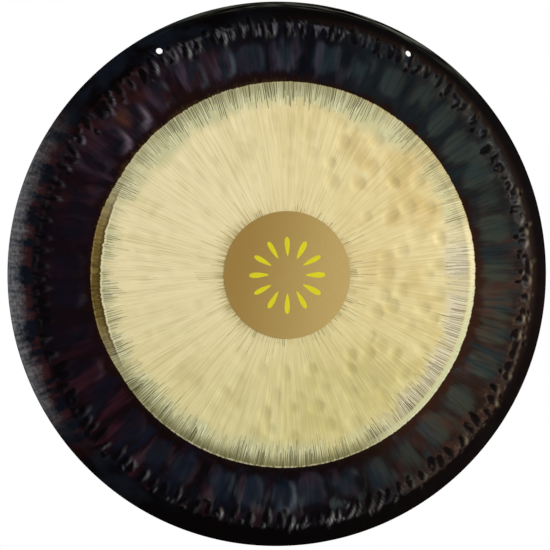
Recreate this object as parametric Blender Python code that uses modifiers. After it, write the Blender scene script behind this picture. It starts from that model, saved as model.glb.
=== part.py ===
# Flat-faced orchestral gong, modelled upright as it hangs: one hammered bronze plate with a turned-back
# rim, and a thin lacquered roundel at its centre. Metres, +Z up. The face looks along -Y, the rim is
# turned back towards +Y, and the origin is the middle of the bounding box, on the gong's axis.
# Every piece is turned about the local Z axis of an empty, whose +Z is the way the face looks.

import math
import random

import bpy

# Plate
GONG_DIAMETER = 0.813
PLATE_DEPTH = 0.0525  # from the border's face to the back edge of the rim
SHEET = 0.0017  # thickness of the bronze
RIM_SLANT = math.radians(50)  # between the rim and the face
SHOULDER_RADIUS = 0.028  # bend from the border into the rim

# Playing field, the scraped middle of the face, a shallow dome that stands a little proud of the border
BORDER_WIDTH = 0.066  # dark ring between the field's foot and the shoulder
FIELD_BEVEL = 0.009  # sloping edge of the field, seen from the front
FIELD_STEP = 0.0015
FIELD_RISE = 0.004

# Hammer work
DISHES = 40  # broad hollows side by side round the border
DISH_DEPTH = 0.0017
CREASES = 80  # gathers in the bronze round the shoulder
CREASE_DEPTH = 0.0021
CREASE_WIDTH = 0.018
CREASE_RUN = 0.006  # how far the creases run past the bend, onto the rim
LEAST_BLOW = 0.5  # the lightest hammer blow, as a share of the heaviest
HAMMER_SEED = 11

# Cord holes, bored along the gong's axis
HOLE_DIAMETER = 0.009
HOLE_INSET = 0.0062  # from the end of the bend out to the hole's centre, seen from the front
HOLE_TURN = math.radians(29.5)  # each hole's place either side of the top

# Roundel
ROUNDEL_DIAMETER = 0.1876
ROUNDEL_THICKNESS = 0.0005
SEAT_GAP = 0.0003  # clearance between the roundel and the bronze

# Smoothness of the turned shapes
PLATE_STEPS = 240  # three to a crease and six to a dish
ROUNDEL_STEPS = 80
CUTTER_SIDES = 24
DOME_BANDS = 3
BORDER_BANDS = 3
SHOULDER_BANDS = 3
SHARP_EDGE = math.radians(35)
MERGE = 0.0001

# Worked out from the sizes above
gong_radius = GONG_DIAMETER / 2
bend_width = SHOULDER_RADIUS * math.sin(RIM_SLANT)
bend_drop = SHOULDER_RADIUS * (1 - math.cos(RIM_SLANT))
rim_width = (PLATE_DEPTH - bend_drop) / math.tan(RIM_SLANT)
bend_end_radius = gong_radius - rim_width
shoulder_radius = bend_end_radius - bend_width
field_foot_radius = shoulder_radius - BORDER_WIDTH
field_top_radius = field_foot_radius - FIELD_BEVEL
dome_radius = (field_top_radius**2 + FIELD_RISE**2) / (2 * FIELD_RISE)
front_height = FIELD_STEP + FIELD_RISE + SEAT_GAP + ROUNDEL_THICKNESS
hole_radius = bend_end_radius + HOLE_INSET


def dome_height(radius):
    """Height of the playing field over the border's face, on its shallow spherical dome."""
    fall = dome_radius - math.sqrt(dome_radius**2 - radius**2)
    return FIELD_STEP + FIELD_RISE - fall


def rim_height(radius):
    """Height of the rim's outer face, a straight cone that drops back from the end of the bend."""
    return -bend_drop - (radius - bend_end_radius) * math.tan(RIM_SLANT)


def plate_profile():
    """Front of the plate from its centre outwards, as (radius, height), ending past the trimmed edge."""
    points = []
    for band in range(DOME_BANDS + 1):
        radius = field_top_radius * band / DOME_BANDS
        points.append((radius, dome_height(radius)))
    for band in range(BORDER_BANDS + 1):
        points.append((field_foot_radius + BORDER_WIDTH * band / BORDER_BANDS, 0.0))
    for band in range(1, SHOULDER_BANDS + 1):
        turn = RIM_SLANT * band / SHOULDER_BANDS
        radius = shoulder_radius + SHOULDER_RADIUS * math.sin(turn)
        points.append((radius, -SHOULDER_RADIUS * (1 - math.cos(turn))))
    overrun = 2 * SHEET
    for radius in (bend_end_radius + CREASE_RUN, gong_radius + overrun):
        points.append((radius, rim_height(radius)))
    return points


def roundel_profile():
    """Underside of the roundel, on the dome and clear of it by the seat gap."""
    radii = [ROUNDEL_DIAMETER / 2 * band / DOME_BANDS for band in range(DOME_BANDS + 1)]
    return [(radius, dome_height(radius) + SEAT_GAP) for radius in radii]


def make_collection(name):
    collection = bpy.data.collections.new(name)
    bpy.context.scene.collection.children.link(collection)
    return collection


def make_material(name, color, roughness, metallic):
    material = bpy.data.materials.new(name)
    material.use_nodes = True
    shader = material.node_tree.nodes["Principled BSDF"]
    shader.inputs["Base Color"].default_value = (*color, 1.0)
    shader.inputs["Roughness"].default_value = roughness
    shader.inputs["Metallic"].default_value = metallic
    material.diffuse_color = (*color, 1.0)
    return material


def turned_mesh(name, profile, steps):
    """Spins a profile about Z with a Screw modifier and returns the open surface as a mesh."""
    outline = bpy.data.meshes.new(name)
    edges = [(index, index + 1) for index in range(len(profile) - 1)]
    outline.from_pydata([(radius, 0.0, height) for radius, height in profile], edges, [])
    spun = bpy.data.objects.new(name, outline)
    bpy.context.scene.collection.objects.link(spun)
    screw = spun.modifiers.new("Turn", "SCREW")
    screw.axis = "Z"
    screw.angle = 2 * math.pi
    screw.steps = screw.render_steps = steps
    screw.use_merge_vertices = True
    screw.merge_threshold = MERGE
    view = bpy.context.evaluated_depsgraph_get()
    mesh = bpy.data.meshes.new_from_object(spun.evaluated_get(view))
    bpy.data.objects.remove(spun)
    bpy.data.meshes.remove(outline)
    mesh.name = name
    return mesh


def hammer(mesh):
    """Beats the border's dishes and the shoulder's creases into the plate, along its normals."""
    chance = random.Random(HAMMER_SEED)
    dish_blows = [chance.uniform(LEAST_BLOW, 1.0) for _ in range(DISHES)]
    crease_blows = [chance.uniform(LEAST_BLOW, 1.0) for _ in range(CREASES)]
    dish_middle = (field_foot_radius + shoulder_radius) / 2
    crease_end = bend_end_radius + CREASE_RUN
    crease_middle = (shoulder_radius + crease_end) / 2

    def nearest_blow(turn, blows):
        # its strength, and how many marks to one side of its middle line this turn is, up to a half
        place = turn * len(blows)
        mark = round(place)
        return blows[mark % len(blows)], abs(place - mark)

    def depth_at(radius, turn):
        strength, aside = nearest_blow(turn, dish_blows)
        along = (radius - dish_middle) / (BORDER_WIDTH / 2)
        dish = DISH_DEPTH * strength * max(0.0, 1 - (2 * aside) ** 2 - along**2)
        strength, aside = nearest_blow(turn, crease_blows)
        along = (radius - crease_middle) / (crease_end - crease_middle)
        across = aside * 2 * math.pi * radius / CREASES / (CREASE_WIDTH / 2)
        crease = CREASE_DEPTH * strength * max(0.0, 1 - across) * max(0.0, 1 - along**2)
        return dish + crease

    normals = [vertex.normal.copy() for vertex in mesh.vertices]
    for vertex, normal in zip(mesh.vertices, normals):
        radius = math.hypot(vertex.co.x, vertex.co.y)
        turn = math.atan2(vertex.co.y, vertex.co.x) / (2 * math.pi) % 1.0
        vertex.co -= normal * depth_at(radius, turn)


def add_piece(name, mesh, materials, collection, axis):
    piece = bpy.data.objects.new(name, mesh)
    collection.objects.link(piece)
    piece.parent = axis
    for material in materials:
        mesh.materials.append(material)
    return piece


def add_cutter(name, radius, depth, place, collection, axis):
    """A round cutter that lies along the gong's axis."""
    bpy.ops.mesh.primitive_cylinder_add(vertices=CUTTER_SIDES, radius=radius, depth=depth, location=place)
    cutter = bpy.context.object
    cutter.name = name
    for home in list(cutter.users_collection):
        home.objects.unlink(cutter)
    collection.objects.link(cutter)
    cutter.parent = axis
    cutter.hide_render = True
    cutter.display_type = "WIRE"
    return cutter


def thicken(piece, thickness, side):
    """Gives an open surface its thickness, in front of it (side 1) or behind it (side -1)."""
    wall = piece.modifiers.new("Sheet", "SOLIDIFY")
    wall.thickness = thickness
    wall.offset = side
    wall.use_even_offset = True


def cut(piece, cutter):
    boolean = piece.modifiers.new(cutter.name, "BOOLEAN")
    boolean.operation = "DIFFERENCE"
    boolean.solver = "EXACT"
    boolean.object = cutter


def finish(piece):
    """Applies a piece's modifiers and shades it smooth, apart from its real edges."""
    rough = piece.data
    view = bpy.context.evaluated_depsgraph_get()
    piece.data = bpy.data.meshes.new_from_object(piece.evaluated_get(view))
    piece.modifiers.clear()
    bpy.data.meshes.remove(rough)
    piece.data.name = piece.name
    piece.data.shade_smooth()
    piece.data.set_sharp_from_angle(angle=SHARP_EDGE)


def build_plate(collection, cutters, axis):
    mesh = turned_mesh("gong_plate", plate_profile(), PLATE_STEPS)
    hammer(mesh)
    fire_scale = make_material("fire_scale", (0.010, 0.011, 0.014), 0.45, 0.6)
    scraped_bronze = make_material("scraped_bronze", (0.72, 0.60, 0.33), 0.42, 0.85)
    plate = add_piece("gong_plate", mesh, (fire_scale, scraped_bronze), collection, axis)
    for face in mesh.polygons:
        face.material_index = int(math.hypot(face.center.x, face.center.y) < field_foot_radius)
    thicken(plate, SHEET, -1)

    trim_depth = PLATE_DEPTH / 2
    place = (0, 0, -PLATE_DEPTH - trim_depth / 2)
    cut(plate, add_cutter("edge_trim", GONG_DIAMETER, trim_depth, place, cutters, axis))
    for name, side in (("left_hole_drill", -1), ("right_hole_drill", 1)):
        place = (
            side * hole_radius * math.sin(HOLE_TURN),
            hole_radius * math.cos(HOLE_TURN),
            rim_height(hole_radius),
        )
        cut(plate, add_cutter(name, HOLE_DIAMETER / 2, PLATE_DEPTH, place, cutters, axis))
    finish(plate)


def build_roundel(collection, axis):
    mesh = turned_mesh("centre_roundel", roundel_profile(), ROUNDEL_STEPS)
    lacquer = make_material("brown_lacquer", (0.40, 0.28, 0.12), 0.38, 0.3)
    roundel = add_piece("centre_roundel", mesh, (lacquer,), collection, axis)
    thicken(roundel, ROUNDEL_THICKNESS, 1)
    finish(roundel)


for leftover in list(bpy.data.objects):
    bpy.data.objects.remove(leftover)

gong = make_collection("gong")
gong_cutters = make_collection("gong_cutters")
gong_axis = bpy.data.objects.new("gong_axis", None)
gong_axis.empty_display_size = gong_radius
gong_axis.location = (0, (front_height - PLATE_DEPTH) / 2, 0)
gong_axis.rotation_euler = (math.pi / 2, 0, 0)
gong.objects.link(gong_axis)

build_plate(gong, gong_cutters, gong_axis)
build_roundel(gong, gong_axis)
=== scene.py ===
import math
from types import SimpleNamespace

import bpy
import numpy as np
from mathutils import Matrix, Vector


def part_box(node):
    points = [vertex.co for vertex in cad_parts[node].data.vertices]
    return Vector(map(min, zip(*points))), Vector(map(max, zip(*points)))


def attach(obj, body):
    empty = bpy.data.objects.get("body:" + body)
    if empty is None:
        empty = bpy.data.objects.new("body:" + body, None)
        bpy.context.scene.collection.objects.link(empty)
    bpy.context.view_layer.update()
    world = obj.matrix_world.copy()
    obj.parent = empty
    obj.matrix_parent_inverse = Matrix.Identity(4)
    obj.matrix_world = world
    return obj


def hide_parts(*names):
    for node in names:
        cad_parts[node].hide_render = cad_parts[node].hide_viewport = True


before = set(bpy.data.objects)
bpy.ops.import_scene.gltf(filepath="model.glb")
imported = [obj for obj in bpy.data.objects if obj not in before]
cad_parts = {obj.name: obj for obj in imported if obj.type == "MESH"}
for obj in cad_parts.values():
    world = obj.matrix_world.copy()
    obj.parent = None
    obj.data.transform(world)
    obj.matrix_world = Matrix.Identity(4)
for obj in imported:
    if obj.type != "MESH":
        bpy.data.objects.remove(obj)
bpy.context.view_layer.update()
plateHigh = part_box("gong_plate")[1]
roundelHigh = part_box("centre_roundel")[1]
print("frame loaded")


# Materials: sums with a wire add Math nodes


class Wire:
    def __init__(self, tree, socket=None):
        self.tree = tree
        self.socket = socket

    def node(self, kind, settings, sockets, output=0):
        made = self.tree.nodes.new(kind)
        for key, value in settings.items():
            setattr(made, key, value)
        for key, value in sockets.items():
            if isinstance(value, Wire):
                self.tree.links.new(value.socket, made.inputs[key])
            else:
                made.inputs[key].default_value = value
        return Wire(self.tree, made.outputs[output]) if len(made.outputs) else None

    def out(self, name):
        return Wire(self.tree, self.socket.node.outputs[name])

    def math(self, operation, *values):
        return self.node("ShaderNodeMath", {"operation": operation}, dict(enumerate(values)))

    def __add__(self, other):
        return self.math("ADD", self, other)

    __radd__ = __add__

    def __mul__(self, other):
        return self.math("MULTIPLY", self, other)

    def __sub__(self, other):
        return self.math("SUBTRACT", self, other)

    def __rsub__(self, other):
        return self.math("SUBTRACT", other, self)

    def __pow__(self, other):
        return self.math("POWER", self, other)

    def __abs__(self):
        return self.math("ABSOLUTE", self)

    def rise(self, low, high):
        # 0 below low, 1 above high, or the other way round when low is the larger
        ends = {"Value": self, "From Min": low, "From Max": high, "To Min": 0.0, "To Max": 1.0}
        return self.node("ShaderNodeMapRange", {"interpolation_type": "SMOOTHSTEP"}, ends)

    def pick(self, first, second):
        # a colour between two others, with this wire as the share of the second
        sockets = {0: self, 6: first, 7: second}
        return self.node("ShaderNodeMix", {"data_type": "RGBA"}, sockets, 2)

    def noise(self, scale, detail, roughness, distortion=0.0):
        sockets = {"Vector": self, "Scale": scale, "Detail": detail, "Roughness": roughness,
                   "Distortion": distortion}
        return self.node("ShaderNodeTexNoise", {}, sockets)


def tint(red, green, blue):
    # a colour as a paint program gives it, made linear
    def linear(level):
        level = level / 255
        return level / 12.92 if level <= 0.04045 else ((level + 0.055) / 1.055) ** 2.4

    return (linear(red), linear(green), linear(blue), 1.0)


def newMaterial(name):
    material = bpy.data.materials.new(name)
    material.use_nodes = True
    tree = material.node_tree
    tree.nodes.clear()
    return material, Wire(tree)


def closeMaterial(start, surface):
    start.node("ShaderNodeOutputMaterial", {}, {"Surface": surface})


def painted(material, start, sockets):
    closeMaterial(start, start.node("ShaderNodeBsdfPrincipled", {}, sockets))
    return material


def layered(color, colors, layers):
    # lays colours over one another: each layer is the share of it that shows, and its colour or its name
    # in a share, a rise goes from where the colour begins to where it is full, and the last number is its
    # strength
    for share, top in layers:
        color = share.pick(color, colors[top] if isinstance(top, str) else top)
    return color


def placeWires(start):
    # a point's place on the piece, and how far it is across
    place = start.node("ShaderNodeTexCoord", {}, {}, "Object")
    return place, start.node("ShaderNodeSeparateXYZ", {}, {0: place}, "X")


def whereWires(start):
    # a point's place, how far it is across and up, its distance from the axis and its turn from the top
    # the turn wanders a little, so that no line is quite straight; aside and above are its sine and cosine
    wander = 0.03
    place, across = placeWires(start)
    up = across.out("Z")
    radius = (across * across + up * up) ** 0.5
    turn = across.math("ARCTAN2", across, up) + (place.noise(7.0, 2.0, 0.5) - 0.5) * wander
    return SimpleNamespace(place=place, across=across, up=up, radius=radius, turn=turn,
                           aside=turn.math("SINE", turn), above=turn.math("COSINE", turn))


def towards(where, degrees, low, high):
    # rises from 0 to 1 as the direction from the axis nears this one, in degrees clockwise from the top
    turn = math.radians(degrees)
    return (where.aside * math.sin(turn) + where.above * math.cos(turn)).rise(low, high)


def rays(where, count, run, shift=0.0, detail=2.0, roughness=0.5, swirl=0.0):
    # noise drawn out along the radius: about count streaks round the gong, each about run long
    spread = count / (2 * math.pi)
    radius = where.radius
    sockets = {0: where.aside * spread + shift, 1: where.above * spread, 2: radius * (1 / run)}
    place = radius.node("ShaderNodeCombineXYZ", {}, sockets)
    return place.noise(1.0, detail, roughness, swirl)


def markWires(start, *names):
    # the shares that hammerSheet keeps on the mesh
    return [start.node("ShaderNodeAttribute", {"attribute_name": name}, {}, "Fac") for name in names]


# Shapes

shapes = {
    "merge": 0.00002,  # vertices closer than this are one
    "wedgeHighlights": 12,
    "sharpEdge": math.radians(35),
}


def startPiece(name):
    # one vertex at the origin, in edit mode
    bpy.ops.object.select_all(action="DESELECT")
    bpy.ops.mesh.primitive_plane_add(size=0.001)
    piece = bpy.context.object
    piece.name = name
    piece.data.name = name
    bpy.ops.object.mode_set(mode="EDIT")
    bpy.ops.mesh.select_all(action="SELECT")
    bpy.ops.mesh.merge(type="CENTER")
    return piece


def drawProfile(points):
    # extrudes the vertex from point to point, each a radius and a place along Y
    last = (0.0, 0.0)
    for number, (radius, place) in enumerate(points):
        step = (radius - last[0], place - last[1], 0.0)
        if number == 0:
            bpy.ops.transform.translate(value=step)
        else:
            bpy.ops.mesh.extrude_region_move(TRANSFORM_OT_translate={"value": step})
        last = (radius, place)


def spinProfile(steps):
    # one wedge is spun and then copied round, which is far quicker than a single long spin
    wedgeHighlights = shapes["wedgeHighlights"]
    wedgeHighlight = 2 * math.pi / wedgeHighlights
    bpy.ops.mesh.select_all(action="SELECT")
    bpy.ops.mesh.spin(steps=steps // wedgeHighlights, angle=wedgeHighlight, center=(0, 0, 0), axis=(0, 1, 0))
    bpy.ops.mesh.select_all(action="SELECT")
    bpy.ops.mesh.spin(steps=wedgeHighlights - 1, dupli=True, angle=wedgeHighlight * (wedgeHighlights - 1), center=(0, 0, 0),
                      axis=(0, 1, 0))
    bpy.ops.mesh.select_all(action="SELECT")
    bpy.ops.mesh.remove_doubles(threshold=shapes["merge"])


def turnedPiece(name, points, steps):
    piece = startPiece(name)
    drawProfile(points)
    spinProfile(steps)
    bpy.ops.object.mode_set(mode="OBJECT")
    return piece


def joinPieces(piece, other):
    bpy.ops.object.select_all(action="DESELECT")
    other.select_set(True)
    piece.select_set(True)
    bpy.context.view_layer.objects.active = piece
    bpy.ops.object.join()


def selectWhere(piece, test):
    # leaves the piece in edit mode with only these vertices selected, and the edges between them
    bpy.context.view_layer.objects.active = piece
    bpy.ops.object.mode_set(mode="EDIT")
    bpy.ops.mesh.select_mode(type="VERT")
    bpy.ops.mesh.select_all(action="DESELECT")
    bpy.ops.object.mode_set(mode="OBJECT")
    for vertex in piece.data.vertices:
        vertex.select = test(vertex.co)
    bpy.ops.object.mode_set(mode="EDIT")


def faceOutwards():
    # turns the faces of the piece that is in edit mode, and leaves edit mode
    bpy.ops.mesh.select_all(action="SELECT")
    bpy.ops.mesh.normals_make_consistent(inside=False)
    bpy.ops.object.mode_set(mode="OBJECT")


def applyModifier(piece, kind, settings):
    modifier = piece.modifiers.new(kind.title(), kind)
    for key, value in settings.items():
        setattr(modifier, key, value)
    bpy.context.view_layer.objects.active = piece
    bpy.ops.object.modifier_apply(modifier=modifier.name)


def smooth(piece):
    bpy.ops.object.select_all(action="DESELECT")
    piece.select_set(True)
    bpy.context.view_layer.objects.active = piece
    bpy.ops.object.shade_smooth_by_angle(angle=shapes["sharpEdge"])


def readPlaces(mesh):
    places = np.empty(len(mesh.vertices) * 3)
    mesh.vertices.foreach_get("co", places)
    return places.reshape(-1, 3)


def writePlaces(mesh, places):
    mesh.vertices.foreach_set("co", places.ravel())
    mesh.update()


# The plate

plate = {
    "depth": 0.0525,  # from the border's face to the back edge of the rim
    "sheet": 0.0017,
    "rimSlant": math.radians(50),
    "shoulder": 0.028,  # radius of the bend from the border into the rim
    "border": 0.066,
    "bevel": 0.009,
    "leftBevel": 0.0045,  # how much wider the bevel is at the left
    "step": 0.0015,
    "rise": 0.004,  # how far the field's middle stands over its edge
    "coarse": 0.124,  # inside this radius the rings lie further apart
    "seam": (0.0140, 0.0105),  # the last coarse ring and the first fine one, inside the field's edge
    "fieldSteps": 600,
    "outerSteps": 900,
    "backSteps": 300,
    "parting": 0.005,  # how far behind its place the back is spun
    "slopeStep": 0.0003,
    "holeWidth": 0.009,
    "holeInset": 0.0062,  # from the end of the bend out to the hole's middle
    "holeTurn": math.radians(29.5),
    "drillSides": 40,
    "drillLength": 0.03,
}
hammer = {
    # each mark's half width across the radius, half length along it, and depth, from least to most
    "seed": 5,
    "dishes": 40,
    "dishShift": 0.0055,  # how far outside the border's middle they lie
    "dishAcross": (0.0210, 0.0255),
    "dishAlong": (0.026, 0.031),
    "dishDepth": (0.0012, 0.0023),
    "dents": 126,
    "dentShift": 0.003,  # how far outside the bend's middle they lie
    "dentAcross": (0.0050, 0.0080),
    "dentAlong": (0.012, 0.019),
    "dentDepth": (0.0014, 0.0030),
    "smallDents": 170,
    "smallShifts": (-0.010, 0.009, 0.009),  # from the ring of dents, one or the other
    "smallAcross": (0.003, 0.006),
    "smallAlong": (0.004, 0.009),
    "smallDepth": (0.0008, 0.0020),
    "dimples": ((0.234, 36), (0.204, 31), (0.174, 26), (0.145, 20)),  # rings of soft marks on the field
    "dimpleAcross": (0.010, 0.015),
    "dimpleAlong": (0.010, 0.016),
    "dimpleDepth": (0.0007, 0.0016),
    "rag": 0.0022,  # how far the bevel wanders
    "ragSteps": ((0.4, 420), (0.6, 70)),  # quick and slow: the share, and how many steps round the gong
    "warp": 0.0006,  # how far the rim's edge is out of round
    "warpWaves": range(2, 7),
}

gongRadius = plateHigh[0]
backEdge = plateHigh[1]
borderFace = backEdge - plate["depth"]
bendWidth = plate["shoulder"] * math.sin(plate["rimSlant"])
bendDrop = plate["shoulder"] * (1 - math.cos(plate["rimSlant"]))
bendEnd = gongRadius - (plate["depth"] - bendDrop) / math.tan(plate["rimSlant"])
bendStart = bendEnd - bendWidth
fieldFoot = bendStart - plate["border"]
fieldTop = fieldFoot - plate["bevel"]
domeRadius = (fieldTop**2 + plate["rise"]**2) / (2 * plate["rise"])


def faceHeight(radius, shift=0.0, wider=0.0):
    # height over the border's face, of the field, its bevel, the border, the bend and the rim
    ledge = (radius - shift - fieldTop) / (plate["bevel"] + wider)
    dome = plate["step"] + plate["rise"] - (domeRadius - np.sqrt(domeRadius**2 - radius**2))
    slope = plate["step"] * np.clip(1 - ledge, 0, 1)
    around = np.clip((radius - bendStart) / plate["shoulder"], 0, math.sin(plate["rimSlant"]))
    bend = -plate["shoulder"] * (1 - np.sqrt(1 - around**2))
    rim = -np.maximum(radius - bendEnd, 0) * math.tan(plate["rimSlant"])
    return np.where(ledge < 0, dome, slope + bend + rim)


def ringsBetween(first, last, count):
    return [first + (last - first) * number / count for number in range(count + 1)]


def profileAt(rings):
    return [(radius, borderFace - float(faceHeight(np.array(radius)))) for radius in rings]


def marksRound(draw, count, wander):
    # angles round the gong, unevenly spaced
    gaps = draw.uniform(1 - wander, 1 + wander, count)
    return np.cumsum(gaps) / gaps.sum() * 2 * math.pi


def softStep(value, low, high):
    share = np.clip((value - low) / (high - low), 0, 1)
    return share * share * (3 - 2 * share)


def hammerMarks(radius, turn):
    # each kind of mark at each place: how deep the sheet is beaten in, and shares that the finish reads
    draw = np.random.default_rng(hammer["seed"])
    marks = {name: np.zeros_like(radius) for name in ("dish", "dent", "crestHighlight", "dishHighlight", "dimple", "dimpleShade")}

    def pickSize(name, middle, wide=1.0):
        across = draw.uniform(*hammer[name + "Across"]) * wide
        return middle, across, draw.uniform(*hammer[name + "Along"]) / wide

    def wanderRound(share, count):
        values = draw.uniform(-1, 1, count)
        return share * np.interp(turn, np.linspace(0, 2 * math.pi, count + 1), np.append(values, values[0]))

    def strike(kind, angle, middle, halfAcross, halfAlong, deep, lean, sharp, square=2, crescent=0):
        # a hollow, round or more square, or the crescent just inside its right-hand edge: there the finish
        # paints highlights on the dishes and crests, and shade on the dimples
        reach = 1.5 * max(halfAcross, halfAlong)
        swing = (turn - angle + math.pi) % (2 * math.pi) - math.pi
        near = np.flatnonzero((np.abs(swing) * middle < reach) & (np.abs(radius - middle) < reach))
        aside = swing[near] * middle
        along = radius[near] - middle
        across = (aside * math.cos(lean) - along * math.sin(lean)) / halfAcross
        up = (aside * math.sin(lean) + along * math.cos(lean)) / halfAlong
        size = (np.abs(across) ** square + np.abs(up) ** square) ** (1 / square)
        mark = deep * np.clip(1 - size**2, 0, 1) ** sharp
        if crescent:
            facing = (across * math.cos(angle) + up * math.sin(angle)) / np.maximum(size, 0.01)
            mark = deep * np.exp(-(((size - 0.8) / crescent) ** 2)) * np.clip(facing, 0, 1) ** sharp
        was = marks[kind][near]
        marks[kind][near] = np.maximum(was, mark) + 0.3 * np.minimum(was, mark)

    middle = (fieldFoot + bendStart) / 2 + hammer["dishShift"]
    for angle in marksRound(draw, hammer["dishes"], 0.2):
        size = pickSize("dish", middle + draw.normal(0, 0.002))
        lean = draw.normal(0, 0.08)
        strike("dish", angle, *size, draw.uniform(*hammer["dishDepth"]), lean, 1.2, 3)
        # a painted highlight inside some of the dishes
        strike("dishHighlight", angle, *size, draw.uniform(0, 1) ** 2.5, lean, 2.5, 3, 0.15)

    # the dents are wider and shorter at the right
    middle = (bendStart + bendEnd) / 2 + hammer["dentShift"]
    for angle in marksRound(draw, hammer["dents"], 0.4):
        wide = 1 + 0.6 * softStep(math.sin(angle), 0.8, 1.0)
        size = pickSize("dent", middle + draw.normal(0, 0.003), wide)
        lean = draw.normal(0.1, 0.2)
        strike("dent", angle, *size, draw.uniform(*hammer["dentDepth"]), lean, 1.2)
        # a painted highlight on the crest beside each dent
        strike("crestHighlight", angle, *size, draw.uniform(0.1, 1.3) ** 1.5, lean, 3, 2, 0.21)
    for angle in marksRound(draw, hammer["smallDents"], 0.8):
        size = pickSize("small", middle + draw.choice(hammer["smallShifts"]) + draw.normal(0, 0.002))
        lean = draw.normal(0, 0.4)
        strike("dent", angle, *size, draw.uniform(*hammer["smallDepth"]), lean, 1.1)
        # a painted highlight on the crest beside each small dent
        strike("crestHighlight", angle, *size, draw.uniform(0, 0.7), lean, 2.5, 2, 0.24)

    # the dimples fade towards the left
    for ring, count in hammer["dimples"]:
        for angle in marksRound(draw, count, 0.5):
            side = 0.40 + 0.60 * softStep(math.sin(angle) - 0.35 * math.cos(angle), -0.5, 0.3)
            size = pickSize("dimple", ring + draw.normal(0, 0.006))
            strike("dimple", angle, *size, draw.uniform(*hammer["dimpleDepth"]) * side, 0.0, 1.4)
            # and a painted shade on one side of each dimple
            strike("dimpleShade", angle, *size, draw.uniform(0, 1) * side, 0.0, 1.5, 2, 0.22)

    wander = sum(wanderRound(*step) for step in hammer["ragSteps"])
    marks["left"] = softStep(-np.sin(turn), 0.85, 0.99)
    marks["shift"] = hammer["rag"] * wander * (0.25 + 0.75 * marks["left"])
    marks["wider"] = plate["leftBevel"] * marks["left"]
    marks["ledge"] = (radius - marks["shift"] - fieldTop) / (plate["bevel"] + marks["wider"])
    swells = [np.sin(waves * turn + draw.uniform(0, 2 * math.pi)) for waves in hammer["warpWaves"]]
    wave = sum(swells) / len(swells)
    onRim = np.clip((radius - bendEnd) / (gongRadius - bendEnd), 0, 1)
    marks["warp"] = hammer["warp"] * (1 + wave) / 2 * onRim
    return marks


def hammerSheet(piece, behind):
    # puts each vertex on the hammered face, or behind it, and keeps the marks for the finish
    mesh = piece.data
    places = readPlaces(mesh)
    radius = np.hypot(places[:, 0], places[:, 2])
    turn = np.arctan2(places[:, 0], places[:, 2]) % (2 * math.pi)
    marks = hammerMarks(radius, turn)
    ragged = (marks["shift"], marks["wider"])
    step = plate["slopeStep"]
    slope = (faceHeight(radius + step, *ragged) - faceHeight(radius - step, *ragged)) / (2 * step)
    length = np.sqrt(1 + slope**2)
    deep = marks["dish"] + marks["dent"] + marks["dimple"] + behind
    out = radius + slope / length * deep - marks["warp"]
    places[:, 0] = out * np.sin(turn)
    places[:, 1] = np.minimum(borderFace - faceHeight(radius, *ragged) + deep / length, backEdge)
    places[:, 2] = out * np.cos(turn)
    writePlaces(mesh, places)
    shares = {name: marks[name] / hammer[name + "Depth"][1] for name in ("dish", "dent", "dimple")}
    shares.update({name: marks[name] for name in ("crestHighlight", "dishHighlight", "dimpleShade", "ledge", "left")})
    for name, values in shares.items():
        layer = mesh.attributes.new(name=name, type="FLOAT", domain="POINT")
        layer.data.foreach_set("value", values)


def buildPlate():
    # the front's rings lie closest at the bevel and round the bend, and the back needs far fewer
    coarse = plate["coarse"]
    middle = ringsBetween(0, coarse, 9) + ringsBetween(coarse, fieldTop - plate["seam"][0], 47)[1:]
    ground = ringsBetween(fieldTop - plate["seam"][1], fieldFoot + 0.0080, 17)
    border = ringsBetween(ground[-1], bendStart - 0.003, 9)[1:]
    bend = ringsBetween(border[-1], bendEnd + 0.010, 17)[1:]
    rim = ringsBetween(bend[-1], gongRadius, 4)[1:]
    backRim = gongRadius - plate["sheet"] * math.cos(plate["rimSlant"]) / math.tan(plate["rimSlant"])
    behind = ringsBetween(0, middle[-1], 24) + ringsBetween(middle[-1], bendStart, 14)[1:]
    behind += ringsBetween(bendStart, bendEnd, 9)[1:] + ringsBetween(bendEnd, backRim, 5)[1:]

    piece = turnedPiece("gongPlate", profileAt(middle), plate["fieldSteps"])
    outer = turnedPiece("outerPlate", profileAt(ground + border + bend + rim), plate["outerSteps"])
    joinPieces(piece, outer)
    seam = (middle[-1] + ground[0]) / 2
    reach = (ground[0] - middle[-1]) * 0.6
    selectWhere(piece, lambda spot: abs(math.hypot(spot.x, spot.z) - seam) < reach)
    bpy.ops.mesh.bridge_edge_loops()
    bpy.ops.object.mode_set(mode="OBJECT")
    piece.data.materials.append(frontFinish())

    # the back is spun well behind the face, so that the shell closes cleanly, and hammerSheet brings it up
    frontCount = len(piece.data.vertices)
    backProfile = [(radius, place + plate["parting"]) for radius, place in profileAt(behind)]
    back = turnedPiece("plateBack", backProfile, plate["backSteps"])
    back.data.materials.append(backFinish())
    joinPieces(piece, back)
    selectWhere(piece, lambda spot: math.hypot(spot.x, spot.z) > backRim - shapes["merge"])
    bpy.ops.mesh.bridge_edge_loops()
    faceOutwards()
    hammerSheet(piece, np.where(np.arange(len(piece.data.vertices)) < frontCount, 0.0, plate["sheet"]))
    for face in piece.data.polygons:
        if face.center.y > backEdge - shapes["merge"] / 2:
            face.material_index = 1
    print("plate hammered")

    holeRadius = bendEnd + plate["holeInset"]
    holeFace = borderFace - float(faceHeight(np.array(holeRadius)))
    for side in (-1, 1):
        bpy.ops.object.select_all(action="DESELECT")
        aside = side * holeRadius * math.sin(plate["holeTurn"])
        place = (aside, holeFace, holeRadius * math.cos(plate["holeTurn"]))
        bpy.ops.mesh.primitive_cylinder_add(vertices=plate["drillSides"], radius=plate["holeWidth"] / 2,
                                            depth=plate["drillLength"], location=place,
                                            rotation=(math.pi / 2, 0, 0))
        drill = bpy.context.object
        applyModifier(piece, "BOOLEAN", {"operation": "DIFFERENCE", "solver": "EXACT", "object": drill})
        bpy.data.objects.remove(drill)
    print("holes bored")
    return piece


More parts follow.
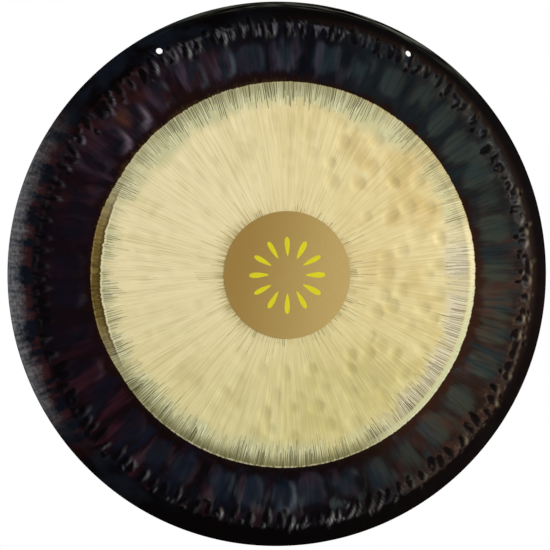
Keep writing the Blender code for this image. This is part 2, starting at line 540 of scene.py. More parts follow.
field = {
    "edge": fieldFoot + 0.0003,  # where the scraped metal ends
    "ragged": 0.0013,
    "cream": tint(233, 219, 167),
    "gold": tint(221, 204, 147),
    "pale": tint(237, 223, 178),
    "light": tint(242, 230, 184),
    "tan": tint(188, 166, 106),
    "oliveTan": tint(180, 168, 98),
    "warm": tint(206, 172, 104),
    "orange": tint(208, 182, 120),
    "green": tint(200, 194, 126),
    "stain": tint(198, 186, 130),
    "mist": tint(196, 194, 150),  # the greyer metal under the outer lines
    "mistRight": tint(210, 200, 172),
    # painted light on the bevel at the right
    "rightEdgeLight": tint(232, 221, 186),
    "dark": tint(56, 53, 34),
    "darkRight": tint(88, 74, 50),
    "silver": tint(236, 231, 198),
    # darker along the field's edge
    "darkEdge": tint(108, 103, 62),
    "near": tint(124, 100, 50),
    "fan": tint(164, 142, 82),
    "nearLow": tint(98, 96, 54),
    # olive, bevel and shade are colours of painted shade, on the left bevel and, for bevel, on the dimples
    "olive": tint(86, 72, 32),
    "bevel": tint(134, 112, 60),
    "shade": tint(70, 55, 22),
    # painted light on the bevel: a highlight on the left bevel's outer line, and pale green at the lower
    # right
    "bevelHighlight": tint(168, 146, 96),
    "paleGreen": tint(192, 194, 150),
}
sides = {
    # at the left, at the top and bottom, and at the right; the right's lighter colours are partly the
    # oxide's own tint and partly painted reflection, and the last two rows are painted highlights on the
    # dishes and on the crests between the dents
    "ground": (tint(16, 6, 10), tint(10, 7, 11), tint(44, 30, 24)),
    "dish": (tint(13, 8, 18), tint(30, 36, 44), tint(57, 59, 50)),
    "warm": (tint(40, 14, 20), tint(52, 32, 42), tint(74, 46, 36)),
    "cool": (tint(11, 13, 26), tint(18, 28, 40), tint(36, 54, 56)),
    "fringe": (tint(24, 8, 6), tint(25, 12, 9), tint(50, 28, 17)),
    "dishHighlight": (tint(118, 100, 112), tint(88, 98, 106), tint(96, 94, 82)),
    "crestHighlight": (tint(120, 112, 124), tint(150, 149, 148), tint(112, 99, 78)),
}
scale = {
    # the lilac, wedge, glint and silhouette colours are painted highlights, and the scuff colours partly
    # painted reflection
    "black": tint(5, 3, 5),
    "teal": tint(32, 48, 49),
    "plum": tint(60, 44, 56),
    "lilac": tint(66, 54, 70),
    "halo": tint(58, 42, 20),
    "darkRed": tint(54, 22, 20),
    "rust": tint(86, 50, 28),
    "maroon": tint(54, 24, 32),
    "navy": tint(16, 24, 40),
    "deep": tint(10, 14, 22),
    "back": tint(54, 58, 56),
    "worn": tint(78, 65, 51),
    "wedgeHighlight": tint(100, 97, 104),
    "glint": tint(68, 82, 82),
    "slate": tint(27, 36, 38),
    "rim": tint(9, 6, 6),
    "rimWarm": tint(27, 18, 14),
    "rimCool": tint(22, 27, 35),
    "barWarm": tint(58, 29, 30),
    "barCool": tint(17, 20, 30),
    "scuffAndReflectionDark": tint(66, 68, 72),
    "scuffAndReflection": tint(134, 135, 138),
    "silhouetteHighlight": tint(104, 106, 94),
}
fieldLines = {
    # how many there are round the gong; the radius where they begin, and how far a line may fall short of
    # it; the same for where they end; their width as a share of a cell; and a number of their own
    "long": (330, (0.096, 0.110), (0.255, 0.140), 0.42, 600.0),
    "longer": (590, (0.140, 0.110), (0.270, 0.100), 0.50, 700.0),
    "silver": (450, (0.246, 0.020), (0.292, 0.010), 0.60, 900.0),
    "reaching": (460, (0.234, 0.030), (0.286, 0.014), 0.42, 1700.0),
    "ink": (620, (0.246, 0.020), (0.293, 0.009), 0.50, 3.0),
    "thin": (410, (0.242, 0.028), (0.293, 0.012), 0.38, 77.0),
    "short": (880, (0.256, 0.018), (0.293, 0.006), 0.58, 1200.0),
    "bright": (210, (0.089, 0.002), (0.125, 0.030), 0.60, 350.0),
    "close": (230, (0.089, 0.002), (0.108, 0.014), 0.60, 300.0),
    "stray": (250, (0.089, 0.002), (0.140, 0.050), 0.45, 400.0),
    "ticks": (860, (0.276, 0.006), (0.292, 0.004), 0.40, 1500.0),
}


def scratches(where, name):
    # thin lines along the radius, one to each cell round the gong, each with its own ends and strength
    count, begin, end, width, seed = fieldLines[name]
    place = where.turn * (count / (2 * math.pi)) + count
    cell = place.math("FLOOR", place)
    dice = cell.node("ShaderNodeTexWhiteNoise", {"noise_dimensions": "1D"}, {"W": cell + seed}, "Color")
    first = dice.node("ShaderNodeSeparateColor", {}, {0: dice}, "Red")
    inner = where.radius - first * begin[1]
    outer = where.radius + first.out("Green") * end[1]
    line = abs(place - cell - 0.5).rise(width / 2, width / 5)
    shown = inner.rise(begin[0], begin[0] + 0.003) * outer.rise(end[0], end[0] - 0.004)
    return line * shown * first.out("Blue").rise(0.20, 0.95)


def fieldGround(where, seen, dimple, dimpleShade):
    # cream and gold, greener below and warmer at the right, with soft hammer marks and silky rays
    across, up, radius = where.across, where.up, where.radius
    cloud, blotch, hair, silk = seen.cloud, seen.blotch, seen.hair, seen.silk
    spread = blotch.rise(0.40, 0.62) * radius.rise(0.10, 0.16)
    marked = across.rise(-0.26, 0.14)
    hollow = up.rise(0.05, -0.15).pick(field["tan"], field["oliveTan"])
    stained = radius.rise(0.150, 0.210) * (blotch * 0.6 + cloud * 0.4).rise(0.52, 0.64)
    return layered(cloud.rise(0.34, 0.66).pick(field["gold"], field["cream"]), field, [
        (across.rise(0.12, -0.14) * 0.75, "pale"),
        (across.rise(-0.04, 0.20) * (blotch.rise(0.36, 0.66) * 0.5 + 0.2), "orange"),
        (up.rise(0.04, -0.26) * 0.55, "green"),
        (across.rise(0.02, 0.14) * up.rise(0.00, 0.12) * spread * 0.40, "warm"),
        (across.rise(-0.10, 0.04) * up.rise(-0.06, -0.16) * spread * 0.30, "oliveTan"),
        (dimple * marked * 0.38, hollow),
        # a painted shade on one side of each dimple
        (dimpleShade * marked * 0.30, "bevel"),
        (stained * 0.5, "stain"),
        (silk.rise(0.55, 0.35) * 0.12, "tan"),
        (silk.rise(0.50, 0.70) * 0.15, "light"),
        (hair.rise(0.50, 0.32) * 0.24, "tan"),
        (hair.rise(0.52, 0.68) * 0.24, "light"),
        (scratches(where, "long") * 0.40, "tan"),
        (scratches(where, "longer") * 0.36, "tan"),
    ])


def outerLines(where, seen, color):
    # crowded dark lines that reach the edge, except at the lower right, where the bevel is smooth
    radius, smoothEdge = where.radius, seen.smoothEdge
    low = towards(where, 190, 0.0, 0.9)
    high = towards(where, 355, 0.70, 0.97)
    crowd = rays(where, 44, 0.090, 23.0).rise(0.32, 0.58)
    sway = (rays(where, 60, 0.5, 71.0) - 0.5) * (radius - 0.262) * 2.4
    lined = SimpleNamespace(turn=where.turn + sway, radius=radius + smoothEdge * 0.010)
    inward = radius + crowd * 0.010 + (seen.cloud - 0.5) * 0.05
    band = inward.rise(0.246, 0.270) * lined.radius.rise(0.287, 0.278)
    misty = 0.28 + crowd * 0.35 + towards(where, 352, 0.5, 0.95) * 0.35 + smoothEdge * 0.2
    misty = misty + towards(where, 215, 0.7, 0.95) * 0.3
    # darker along the field's edge, most at the bottom and least at the lower right
    edgeDarkening = 0.20 + towards(where, 190, 0.5, 0.96) * 0.60 + high * 0.15
    edgeDarkening = edgeDarkening * (0.3 + seen.hair * 1.4) * (1 - smoothEdge * 0.8)
    dark = towards(where, 65, 0.2, 0.9).pick(field["dark"], field["darkRight"])
    ink = scratches(lined, "ink")
    color = layered(color, field, [
        (band * misty, smoothEdge.pick(field["mist"], field["mistRight"])),
        (scratches(lined, "silver") * (0.30 + crowd * 0.4), "silver"),
        (scratches(lined, "reaching") * towards(where, 225, 0.2, 0.8) * (0.15 + crowd * 0.45), dark),
        (ink * (0.22 + crowd * 0.40 + low * 0.30 + high * 0.35), dark),
        (scratches(lined, "thin") * (0.20 + crowd * 0.40 + high * 0.30), dark),
        (scratches(lined, "short") * (0.28 + crowd * 0.38 + low * 0.40 + high * 0.30), dark),
        (radius.rise(0.260, 0.282) * edgeDarkening, "darkEdge"),
    ])
    return color, ink


def innerLines(where, color):
    # dark lines huddled round the roundel, with a broad fan of brown ones at its left
    radius = where.radius
    huddle = rays(where, 20, 0.5, 37.0).rise(0.34, 0.62) * 0.5 + abs(where.aside) * 0.5
    near = towards(where, 190, -0.2, 0.6).pick(field["near"], field["nearLow"])
    near = (towards(where, 280, 0.40, 0.92) * 0.7).pick(near, field["fan"])
    fan = rays(where, 250, 0.5, 83.0, 3.0, 0.6)
    reach = (radius + (fan - 0.5) * 0.040).rise(0.120, 0.096)
    close = scratches(where, "close")
    color = layered(color, field, [
        (radius.rise(0.110, 0.090) * huddle * 0.25, "fan"),
        (reach * fan.rise(0.42, 0.60) * towards(where, 272, 0.1, 0.9) * 0.8, "fan"),
        (scratches(where, "bright") * 0.30, "light"),
        (close * (0.20 + huddle * 0.75), near),
        (scratches(where, "stray") * (0.12 + huddle * 0.50), near),
    ])
    return color, close


def fieldEdge(where, seen, color, ledge, left):
    # the bevel round the field: at the left, a painted shade in olive, along its inner line and in
    # blotches, with painted highlights on its outer line and lip; at the right and lower right it is smooth
    # and pale, with painted light
    radius, smoothEdge = where.radius, seen.smoothEdge
    teeth = rays(where, 430, 0.020, 31.0, 2.0, 0.6)
    mottled = teeth * 0.5 + seen.blotch * 0.5
    jagged = ledge + (teeth - 0.5) * 0.4
    shadedSlope = mottled.rise(0.40, 0.66).pick(field["olive"], field["bevel"])
    shadeBlotches = mottled.rise(0.46, 0.36) * jagged.rise(0.3, 0.6)
    lipHighlight = jagged.rise(-0.32, -0.10) * jagged.rise(0.02, -0.06)
    edgeLineHighlight = (radius + (teeth - 0.5) * 0.004).rise(field["edge"] - 0.0024, field["edge"] - 0.0010)
    edgeLineHighlight = edgeLineHighlight * towards(where, 165, 0.2, 0.8) * (1 - left) * teeth.rise(0.36, 0.56)
    return layered(color, field, [
        # painted light on the smooth bevel at the lower right: a lighter band and pale green
        (radius.rise(0.272, 0.280) * smoothEdge * 0.6, "rightEdgeLight"),
        (ledge.rise(-0.05, 0.15) * smoothEdge * where.up.rise(0.04, -0.12) * 0.85, "paleGreen"),
        # painted shade on the left bevel, in olive, along its inner line and in blotches, with painted
        # highlights on its outer line and lip
        (left * jagged.rise(0.0, 0.10), shadedSlope),
        (left * jagged.rise(-0.06, 0.04) * jagged.rise(0.45, 0.12) * 0.8, "shade"),
        (left * ledge.rise(0.84, 0.96) * teeth.rise(0.30, 0.56) * 0.5, "bevelHighlight"),
        (left * shadeBlotches * 0.5, "shade"),
        (left * lipHighlight * 0.6, "light"),
        (scratches(where, "ticks") * 0.5, "dark"),
        # a painted highlight along the edge at the right and bottom
        (edgeLineHighlight * 0.55, "rightEdgeLight"),
    ])


def scrapedMetal(where, dimple, dimpleShade, ledge, left):
    # the playing field, and the relief of its lines
    place = where.place
    inner = where.radius.rise(0.20, 0.11)
    fine = rays(where, 290, 0.060, 13.0, 2.0, 0.6)
    hair = rays(where, 540, 0.060, 7.0, 2.0, 0.6) * (1 - inner) + fine * inner
    silk = rays(where, 150, 0.140, 3.0, 2.0, 0.5)
    seen = SimpleNamespace(
        cloud=place.noise(6.0, 3.0, 0.55),
        blotch=place.noise(22.0, 2.0, 0.5),
        hair=hair,
        silk=silk,
        smoothEdge=towards(where, 112, 0.70, 0.92),
    )
    color = fieldGround(where, seen, dimple, dimpleShade)
    color, ink = outerLines(where, seen, color)
    color, close = innerLines(where, color)
    color = fieldEdge(where, seen, color, ledge, left)
    return color, hair * 0.5 + silk * 0.3 - ink * 0.5 - close * 0.2


def borderPatterns(where, dish):
    # what the border's layers share: its noises, some directions, and its colours from side to side
    leftward = where.aside.rise(-0.25, -0.85)
    rightward = where.aside.rise(0.10, 0.80)
    streak = rays(where, 110, 0.080, 57.0, 2.0, 0.5, 0.3)
    cloud = where.place.noise(20.0, 2.0, 0.55)
    colors = dict(scale)
    for name, (left, middle, right) in sides.items():
        colors[name] = rightward.pick(leftward.pick(middle, left), right)
    return SimpleNamespace(
        colors=colors,
        rightward=rightward,
        upper=towards(where, 38, 0.55, 0.95),
        top=towards(where, 350, 0.84, 0.98),
        patch=rays(where, 36, 0.060, 3.0, 2.0, 0.5),
        stripe=rays(where, 90, 0.030, 17.0, 3.0, 0.55),
        streak=streak,
        cloud=cloud,
        fine=rays(where, 420, 0.050, 5.0, 2.0, 0.6),
        fleck=rays(where, 240, 0.008, 43.0, 3.0, 0.65),
        dished=(dish + (streak - 0.5) * 1.6 + (cloud - 0.5) * 1.2).rise(-0.05, 0.60),
    )


def borderGround(where, seen):
    # near black, with patches drawn out along the radius
    colors, upper, dished = seen.colors, seen.upper, seen.dished
    warm = (seen.stripe * 0.6 + seen.cloud * 0.4).rise(0.46, 0.64)
    cool = (seen.streak * 0.6 + seen.patch * 0.4).rise(0.53, 0.38)
    west = towards(where, 268, 0.8, 0.98)
    creased = where.radius.rise(0.346, 0.358) * seen.rightward
    return layered(dished.pick(colors["ground"], colors["dish"]), colors, [
        (warm * (0.55 - west * 0.3 - upper * 0.3), "warm"),
        (cool * (0.60 - west * 0.3 - creased * 0.5), "cool"),
        (upper * dished * 0.5, "teal"),
        (towards(where, 30, 0.6, 0.95) * (1 - dished) * 0.7, "deep"),
        (towards(where, 52, 0.7, 0.96) * (1 - dished) * 0.5, "slate"),
    ])


def strongPatches(where, seen, color, dish, dishHighlight):
    # stronger colours in some places: plum, dark red and one rusty spot at the upper left, painted lilac
    # highlights at the top, painted glints at the bottom, maroon and navy stripes at the lower left, and
    # painted highlights in the dishes
    radius, dished, top = where.radius, seen.dished, seen.top
    patch, stripe, streak, cloud = seen.patch, seen.stripe, seen.streak, seen.cloud
    northwest = towards(where, 318, 0.78, 0.98)
    southwest = towards(where, 215, 0.72, 0.96)
    bottom = towards(where, 188, 0.75, 0.97)
    spot = ((where.across + 0.235) ** 2 + (where.up - 0.227) ** 2) ** 0.5 + (cloud - 0.5) * 0.06
    blocks = (patch * 0.5 + cloud * 0.5).rise(0.46, 0.55)
    gap = 1 - (dish + (stripe - 0.5) * 1.4 + (cloud - 0.5) * 1.2).rise(0.00, 0.50)
    # painted glints: pale teal streaks across the border at the bottom
    glint = (streak * 0.7 + cloud * 0.3).rise(0.50, 0.62)
    glint = glint * radius.rise(0.312, 0.338) * radius.rise(0.358, 0.346)
    # the dish highlights are painted strongest at the upper left and at the bottom
    shine = 0.15 + towards(where, 335, 0.6, 1.0) * 0.85 + towards(where, 185, 0.7, 1.0) * 0.85
    return layered(color, seen.colors, [
        (northwest * streak.rise(0.44, 0.66) * 0.5, "plum"),
        (northwest * (stripe * 0.5 + cloud * 0.5).rise(0.53, 0.38) * 0.6, "darkRed"),
        (northwest * dished * blocks * 0.85, "deep"),
        (spot.rise(0.024, 0.000) * stripe.rise(0.36, 0.60) * 0.5, "rust"),
        (top * dished * streak.rise(0.49, 0.62) * 0.5, "lilac"),
        ((top + bottom) * gap * 0.45, "black"),
        (bottom * glint * 0.45, "glint"),
        (southwest * streak.rise(0.50, 0.34) * 0.40, "navy"),
        (southwest * streak.rise(0.50, 0.68) * 0.65, "maroon"),
        (dishHighlight * shine * cloud.rise(0.30, 0.55) * (0.5 + stripe), "dishHighlight"),
        (seen.fine.rise(0.56, 0.34) * 0.30, "black"),
    ])


def borderFringe(where, seen, color, worn):
    # the dark fringe and the brown halo at the field's edge, and the worn metal at the right
    radius, upper, stripe = where.radius, seen.upper, seen.stripe
    fringe = radius + (stripe - 0.5) * 0.040 + upper * 0.006 - seen.top * 0.006 - field["edge"]
    fringe = fringe.rise(0.017, 0.006)
    halo = radius + (stripe + seen.fine - 1) * 0.020
    halo = halo.rise(field["edge"] + 0.008, field["edge"] - 0.001)
    return layered(color, seen.colors, [
        (fringe * 0.9, (upper * 0.8).pick(seen.colors["fringe"], sides["fringe"][0])),
        (fringe * towards(where, 192, 0.6, 0.95) * 0.7, "black"),
        (halo * (0.10 + towards(where, 322, 0.55, 0.97) * 0.60), "halo"),
        (worn * seen.fleck.rise(0.46, 0.62) * (0.55 - upper * 0.35), "worn"),
    ])


def shoulderMarks(where, seen, color, rim, dent, crestHighlight):
    # the near-black rim and the pits round the bend, with painted highlights on the wedges round the bend
    # at the top and on the crests between them
    radius, cloud, fleck = where.radius, seen.cloud, seen.fleck
    warmRim = towards(where, 60, 0.3, 0.9) * radius.rise(0.390, 0.376)
    coolRim = towards(where, 305, 0.5, 0.95) + towards(where, 238, 0.8, 0.97) * 0.8
    coolRim = coolRim * cloud.rise(0.36, 0.62)
    rimColor = coolRim.pick(warmRim.pick(scale["rim"], scale["rimWarm"]), scale["rimCool"])
    pitted = (dent + (fleck - 0.5) * 1.0).rise(0.08, 0.34) * dent.rise(0.0, 0.10)
    wedgeHighlight = rays(where, 300, 0.030, 67.0, 2.0, 0.5)
    wedgeHighlights = (radius + (seen.stripe - 0.5) * 0.020).rise(0.350, 0.357) * radius.rise(0.373, 0.368)
    wedgeHighlights = wedgeHighlights * (wedgeHighlight + (radius - 0.362) * 7).rise(0.52, 0.62) * (0.2 + fleck)
    # the crest highlights are painted fainter at the left and the upper right
    hidden = towards(where, 248, 0.55, 0.92) * 0.3 + towards(where, 265, 0.70, 0.94) * 0.6
    shown = (1 - hidden) * (1 - seen.upper * 0.6) * (0.1 + fleck * 1.3)
    return layered(color, seen.colors, [
        (rim * 0.95, rimColor),
        (pitted * 0.9, "black"),
        (wedgeHighlights * seen.top * 0.75, "wedgeHighlight"),
        (crestHighlight * shown, "crestHighlight"),
    ])


def rubbedAndLitRim(where, seen, color, rim, hatch, rubbedAndLitLeft):
    # the left of the rim is rubbed grey, partly real wear and partly painted reflection, with dull bars
    # inside that, and the top of it has fine scuffs, partly a painted highlight
    radius = where.radius
    bars = rays(where, 140, 0.060, 29.0, 2.0, 0.5)
    arcs = rays(where, 44, 0.0025, 91.0, 3.0, 0.6)
    speck = where.place.noise(170.0, 3.0, 0.6)
    barred = bars.rise(0.44, 0.58).pick(scale["barCool"], scale["barWarm"])
    outside = (radius + (bars + speck + seen.cloud - 1.5) * 0.018).rise(0.381, 0.410)
    scuffedAndLit = (hatch * 0.45 + speck * 0.25 + arcs * 0.30).rise(0.34, 0.62)
    scuffsAndEdgeLight = radius.rise(0.3935, 0.4035) * towards(where, 8, 0.74, 0.97) * arcs.rise(0.44, 0.66)
    return layered(color, scale, [
        (towards(where, 268, 0.70, 0.95) * rim * (0.3 + hatch), barred),
        # painted reflection over real wear, on the left of the rim
        (outside * rubbedAndLitLeft * 0.95, scuffedAndLit.pick(scale["scuffAndReflectionDark"], scale["scuffAndReflection"])),
        # fine scuffs along the top edge, partly a painted highlight
        (scuffsAndEdgeLight * 0.8, "silhouetteHighlight"),
    ])


def fireScale(where, dish, dent, crestHighlight, dishHighlight):
    # the border and the rim, with how glossy they are and the relief of their grain
    seen = borderPatterns(where, dish)
    radius, fleck = where.radius, seen.fleck
    worn = (radius + (seen.stripe - 0.5) * 0.060).rise(0.351, 0.358)
    worn = worn * (radius + (fleck - 0.5) * 0.030).rise(0.377, 0.367) * seen.rightward
    rim = (radius + (fleck - 0.5) * 0.014).rise(0.371, 0.377)
    hatch = rays(where, 600, 0.020, 9.0, 2.0, 0.6)
    rubbedAndLitLeft = towards(where, 270, 0.78, 0.98)
    color = borderGround(where, seen)
    color = strongPatches(where, seen, color, dish, dishHighlight)
    color = borderFringe(where, seen, color, worn)
    color = shoulderMarks(where, seen, color, rim, dent, crestHighlight)
    color = rubbedAndLitRim(where, seen, color, rim, hatch, rubbedAndLitLeft)
    coat = 0.035 + dish * 0.02 + crestHighlight * 0.08 - rim * 0.03
    relief = seen.fine * 0.3 + fleck * worn * 0.8 + hatch * rubbedAndLitLeft * 0.5
    return color, coat, relief


def frontFinish():
    material, start = newMaterial("hammeredFront")
    where = whereWires(start)
    dimple, dimpleShade, ledge, left = markWires(start, "dimple", "dimpleShade", "ledge", "left")
    gold, goldRelief = scrapedMetal(where, dimple, dimpleShade, ledge, left)
    dark, coat, darkRelief = fireScale(where, *markWires(start, "dish", "dent", "crestHighlight", "dishHighlight"))

    # the field's edge is torn more at the upper left and at the right
    wander = rays(where, 450, 0.5, 41.0, 3.0, 0.7) - 0.5
    torn = 1 + towards(where, 322, 0.55, 0.97) * 1.2 + towards(where, 65, 0.3, 0.9) * 0.8
    torn = torn * (2 * field["ragged"])
    edge = where.radius + wander * torn - left * plate["leftBevel"]
    bare = edge.rise(field["edge"] + 0.0005, field["edge"] - 0.0004)
    relief = goldRelief * bare + darkRelief * (1 - bare)
    bump = start.node("ShaderNodeBump", {}, {"Strength": 0.35, "Distance": 0.0004, "Height": relief})
    return painted(material, start, {
        "Base Color": bare.pick(dark, gold),
        "Metallic": bare * 0.25,
        "Roughness": bare * 0.03 + 0.42,
        "Coat Weight": (1 - bare) * coat,
        "Coat Roughness": 0.22,
        "Specular IOR Level": 0.0,
        "Normal": bump,
    })


def backFinish():
    # mottled fire scale, with faint rays and rings, and worn ridges between the hammer marks
    material, start = newMaterial("fireScaleBack")
    where = whereWires(start)
    place, radius = where.place, where.radius
    dish, dent = markWires(start, "dish", "dent")
    cloud = place.noise(7.0, 5.0, 0.6, 0.4)
    patch = place.noise(17.0, 5.0, 0.62, 0.8)
    drawn = rays(where, 90, 0.12, 51.0, 4.0, 0.6)
    turned = (radius * 150).noise(1.0, 2.0, 0.6)
    between = radius.rise(0.280, 0.292) * radius.rise(0.385, 0.372) * (1 - dish - dent)
    color = layered(cloud.rise(0.38, 0.62).pick(sides["ground"][2], scale["back"]), scale, [
        (patch.rise(0.48, 0.62) * 0.7, sides["warm"][2]),
        (cloud.rise(0.48, 0.66) * 0.5, sides["cool"][2]),
        (drawn.rise(0.46, 0.66) * 0.25, "worn"),
        (turned.rise(0.55, 0.40) * 0.25, "black"),
        (between.rise(0.3, 1.0) * patch.rise(0.40, 0.58) * 0.45, "worn"),
        (dish * 0.45 + dent * 0.7, "black"),
    ])
    return painted(material, start, {
        "Base Color": color,
        "Roughness": patch * 0.3 + 0.35,
        "Coat Weight": cloud * 0.2,
        "Coat Roughness": 0.25,
        "Specular IOR Level": 0.1,
    })


gongPlate = buildPlate()
smooth(gongPlate)
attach(gongPlate, "root")
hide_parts("gong_plate")
print("plate built", len(gongPlate.data.polygons))


# The lacquered roundel, with a ring of plain painted strokes

roundel = {
    "clear": 0.0003,  # between the lacquer and the bronze
    "thick": 0.0003,
    "rim": 0.0003,  # how wide its outermost ring is
    "rings": 10,
    "steps": 180,
    # the lacquer's colours at the left and the right; the lighter right is a painted reflection
    "left": tint(155, 124, 61),
    "right": tint(190, 164, 101),
    "grain": tint(162, 132, 90),
}
strokes = {
    "count": 12,
    "inner": 0.027,
    "outer": 0.057,
    "wide": 0.0072,
    "thick": 0.00008,
    "sunk": 0.00004,  # how far their backs lie in the lacquer
    "sides": 28,
    "deep": 0.001,  # while they are drawn, before they are laid on
    "widths": (0.9, 1.12),
    "taper": 0.45,
    "leans": (-0.06, 0.06),
    "reaches": (0.94, 1.04),
    "seed": 8,
    "paint": tint(226, 215, 38),
    "thinPaint": tint(212, 200, 32),
}


def lacquerFrontAt(radius):
    return borderFace - faceHeight(radius) - roundel["clear"] - roundel["thick"]


def lacquerFinish():
    material, start = newMaterial("brownGoldLacquer")
    place, across = placeWires(start)
    grain = place.noise(700.0, 2.0, 0.6)
    cloud = place.noise(12.0, 2.0, 0.5)
    # painted reflection: the lacquer is lighter towards the right and a little towards the bottom
    shade = (across + cloud * 0.04 - 0.02 - across.out("Z") * 0.20).rise(-0.095, 0.115)
    color = shade.pick(roundel["left"], roundel["right"])
    color = (grain.rise(0.45, 0.70) * 0.3).pick(color, roundel["grain"])
    return painted(material, start, {
        "Base Color": color,
        "Metallic": 0.3,
        "Roughness": grain * 0.1 + 0.40,
        "Specular IOR Level": 0.1,
    })


def paintFinish():
    material, start = newMaterial("yellowPaint")
    where = whereWires(start)
    brush = rays(where, 500, 0.012, 61.0, 3.0, 0.6)
    return painted(material, start, {
        "Base Color": brush.rise(0.3, 0.7).pick(strokes["thinPaint"], strokes["paint"]),
        "Roughness": brush * 0.2 + 0.4,
        "Specular IOR Level": 0.1,
    })


def buildRoundel():
    edge = roundelHigh[0]
    rings = ringsBetween(0, edge - roundel["rim"], roundel["rings"]) + [edge]
    points = [(radius, place - roundel["clear"]) for radius, place in profileAt(rings)]
    piece = turnedPiece("centreRoundel", points, roundel["steps"])
    bpy.ops.object.mode_set(mode="EDIT")
    faceOutwards()
    # it is still an open disc, whose faces may all be turned to the back
    if piece.data.polygons[0].normal.y > 0:
        piece.data.flip_normals()
    applyModifier(piece, "SOLIDIFY", {"thickness": roundel["thick"], "offset": 1, "use_even_offset": True})
    piece.data.materials.append(lacquerFinish())
    return piece


def buildStrokes():
    middle = (strokes["inner"] + strokes["outer"]) / 2
    long = strokes["outer"] - strokes["inner"]
    bpy.ops.object.select_all(action="DESELECT")
    bpy.ops.mesh.primitive_circle_add(vertices=strokes["sides"], radius=long / 2, fill_type="NGON",
                                      location=(0, 0, middle), rotation=(math.pi / 2, 0, 0))
    piece = bpy.context.object
    piece.name = "yellowStrokes"
    piece.data.name = "yellowStrokes"
    bpy.ops.object.transform_apply(location=True, rotation=True, scale=True)
    bpy.ops.object.mode_set(mode="EDIT")
    bpy.ops.transform.resize(value=(strokes["wide"] / long, 1, 1), center_override=(0, 0, middle))
    bpy.ops.mesh.extrude_region_move(TRANSFORM_OT_translate={"value": (0, -strokes["deep"], 0)})
    bpy.ops.mesh.select_all(action="SELECT")
    turn = 2 * math.pi / strokes["count"]
    bpy.ops.mesh.spin(steps=strokes["count"] - 1, dupli=True, angle=turn * (strokes["count"] - 1),
                      center=(0, 0, 0), axis=(0, 1, 0))
    faceOutwards()

    # each stroke tapers inwards and has its own length, width and lean, as one painted by hand does
    draw = np.random.default_rng(strokes["seed"])
    places = readPlaces(piece.data)
    out = np.hypot(places[:, 0], places[:, 2])
    around = np.arctan2(places[:, 0], places[:, 2])
    ownTurn = np.round(around / turn)
    number = ownTurn.astype(int) % strokes["count"]
    aside = (around - ownTurn * turn) * out
    along = (out - middle) / (long / 2)
    width = draw.uniform(*strokes["widths"], strokes["count"])[number] * (1 + strokes["taper"] * along)
    lean = draw.uniform(*strokes["leans"], strokes["count"])[number]
    reach = draw.uniform(*strokes["reaches"], strokes["count"])[number]
    out = middle + along * reach * long / 2
    around = ownTurn * turn + (aside * width + lean * along * long / 2) / out
    front = places[:, 1] < -strokes["deep"] / 2
    places[:, 0] = out * np.sin(around)
    places[:, 1] = lacquerFrontAt(out) + np.where(front, -strokes["thick"], strokes["sunk"])
    places[:, 2] = out * np.cos(around)
    writePlaces(piece.data, places)
    piece.data.materials.append(paintFinish())
    return piece


centreRoundel = buildRoundel()
smooth(centreRoundel)
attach(centreRoundel, "root")
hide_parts("centre_roundel")
print("roundel built")

yellowStrokes = buildStrokes()
smooth(yellowStrokes)
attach(yellowStrokes, "root")
print("strokes painted")


# Camera, lamps and floor

camera = {"turn": -8.6, "lift": 1.06, "distance": 3.596, "lens": 159.2, "aim": (-0.0139, 0.0, -0.0004)}
lamps = {
    # azimuth, elevation, distance, width, height, watts
    "key": (70, 14, 5.0, 2.0, 2.0, 290),
    "side": (-78, 8, 2.6, 0.8, 1.6, 14),
}
studio = {
    "light": 0.36,  # of the sky on the gong
    "floor": -0.75,
    "floorRadius": 12.0,
    "nearRadius": 1.1,  # the floor fades to plain white from here
    "farRadius": 2.0,
    "white": (1.0, 1.0, 1.0, 1.0),
    "grey": (0.86, 0.86, 0.86, 1.0),
}


def backWards(azimuth, elevation):
    # the direction from the gong to something in front of it
    turn = math.radians(azimuth)
    lift = math.radians(elevation)
    return Vector((math.sin(turn) * math.cos(lift), -math.cos(turn) * math.cos(lift), math.sin(lift)))


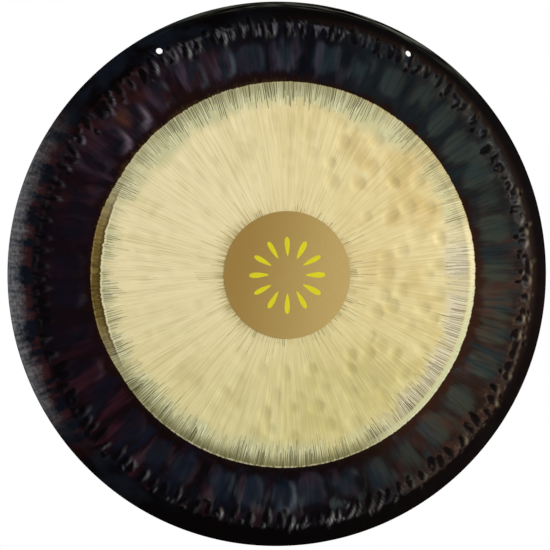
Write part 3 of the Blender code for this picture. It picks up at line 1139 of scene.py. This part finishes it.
def setCamera():
    back = backWards(camera["turn"], camera["lift"])
    bpy.ops.object.camera_add(location=Vector(camera["aim"]) + back * camera["distance"])
    eye = bpy.context.object
    eye.rotation_euler = (-back).to_track_quat("-Z", "Y").to_euler()
    eye.data.lens = camera["lens"]
    bpy.context.scene.camera = eye


def setLamps():
    for name, (azimuth, elevation, distance, width, height, watts) in lamps.items():
        back = backWards(azimuth, elevation)
        bpy.ops.object.light_add(type="AREA", location=back * distance)
        lamp = bpy.context.object
        lamp.name = name
        lamp.rotation_euler = (-back).to_track_quat("-Z", "Y").to_euler()
        lamp.data.shape = "RECTANGLE"
        lamp.data.size = width
        lamp.data.size_y = height
        lamp.data.energy = watts


def seenShare(start):
    # 1 for rays from the camera, from glossy surfaces and through glass
    path = start.node("ShaderNodeLightPath", {}, {}, "Is Camera Ray")
    seen = path + path.out("Is Glossy Ray") + path.out("Is Transmission Ray")
    return seen.math("MINIMUM", seen, 1.0)


def setWorld():
    world = bpy.data.worlds.new("studio")
    world.use_nodes = True
    world.node_tree.nodes.clear()
    start = Wire(world.node_tree)
    strength = seenShare(start) * (1 - studio["light"]) + studio["light"]
    sky = start.node("ShaderNodeBackground", {}, {"Color": studio["white"], "Strength": strength})
    start.node("ShaderNodeOutputWorld", {}, {"Surface": sky})
    bpy.context.scene.world = world


def buildFloor():
    bpy.ops.object.select_all(action="DESELECT")
    bpy.ops.mesh.primitive_circle_add(vertices=128, radius=studio["floorRadius"], fill_type="NGON",
                                      location=(0, 0, studio["floor"]))
    floor = bpy.context.object
    floor.name = "floor"
    material, start = newMaterial("paleFloor")
    across = placeWires(start)[1]
    away = (across * across + across.out("Y") * across.out("Y")) ** 0.5
    matt = start.node("ShaderNodeBsdfDiffuse", {}, {"Color": studio["grey"]})
    white = start.node("ShaderNodeEmission", {}, {"Color": studio["white"], "Strength": 1.0})
    share = away.rise(studio["nearRadius"], studio["farRadius"]) * seenShare(start)
    closeMaterial(start, start.node("ShaderNodeMixShader", {}, {0: share, 1: matt, 2: white}))
    floor.data.materials.append(material)


setCamera()
setLamps()
setWorld()
buildFloor()
bpy.context.scene.view_settings.view_transform = "Standard"
print("studio set")
